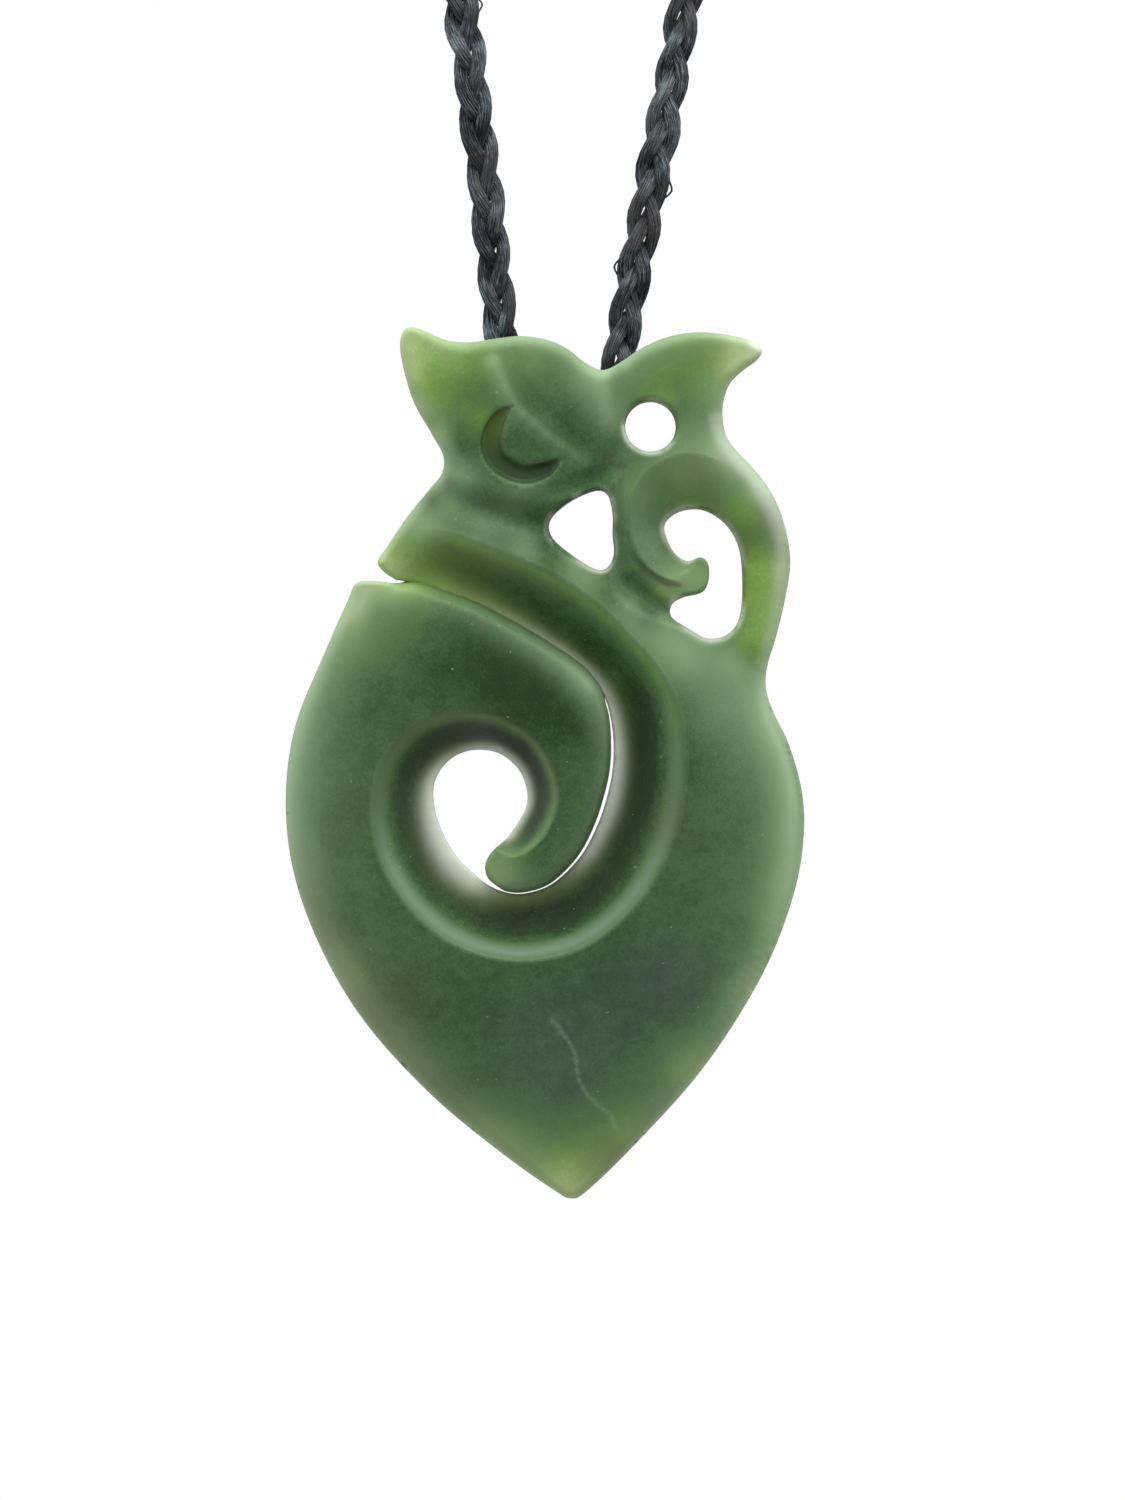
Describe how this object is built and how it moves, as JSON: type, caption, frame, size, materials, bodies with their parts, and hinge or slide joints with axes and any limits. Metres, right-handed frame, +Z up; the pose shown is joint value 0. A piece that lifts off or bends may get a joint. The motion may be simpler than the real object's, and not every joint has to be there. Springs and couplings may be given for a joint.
{
  "type": "manaia pendant",
  "caption": "Carved greenstone figure pendant with a spiral cove and a pierced hooked arm, swinging on a plaited black neck cord.",
  "frame": {"origin": "centre of the binding at the nape, where the cord bears on the back of the neck", "axes": "+Z up, the carved front towards -Y, +X to the right of a viewer who faces the front"},
  "size_m": [0.1186, 0.1339, 0.2141],
  "materials": {
    "greenstone": "satin polish, slightly translucent",
    "waxed_cord": "plaited waxed thread",
    "binding": "waxed thread wound close"
  },
  "bodies": {
    "cord": {"braid_strand_1": "waxed_cord", "braid_strand_2": "waxed_cord", "braid_strand_3": "waxed_cord", "nape_binding": "binding"},
    "stone": {"greenstone": "greenstone"}
  },
  "joints": [
    {"name": "pendant_swing", "type": "hinge", "parent": "cord", "child": "stone", "pos_m": [0, -0.125, -0.15], "axis": [1, 0, 0], "range_deg": [-15, 60]}
  ]
}
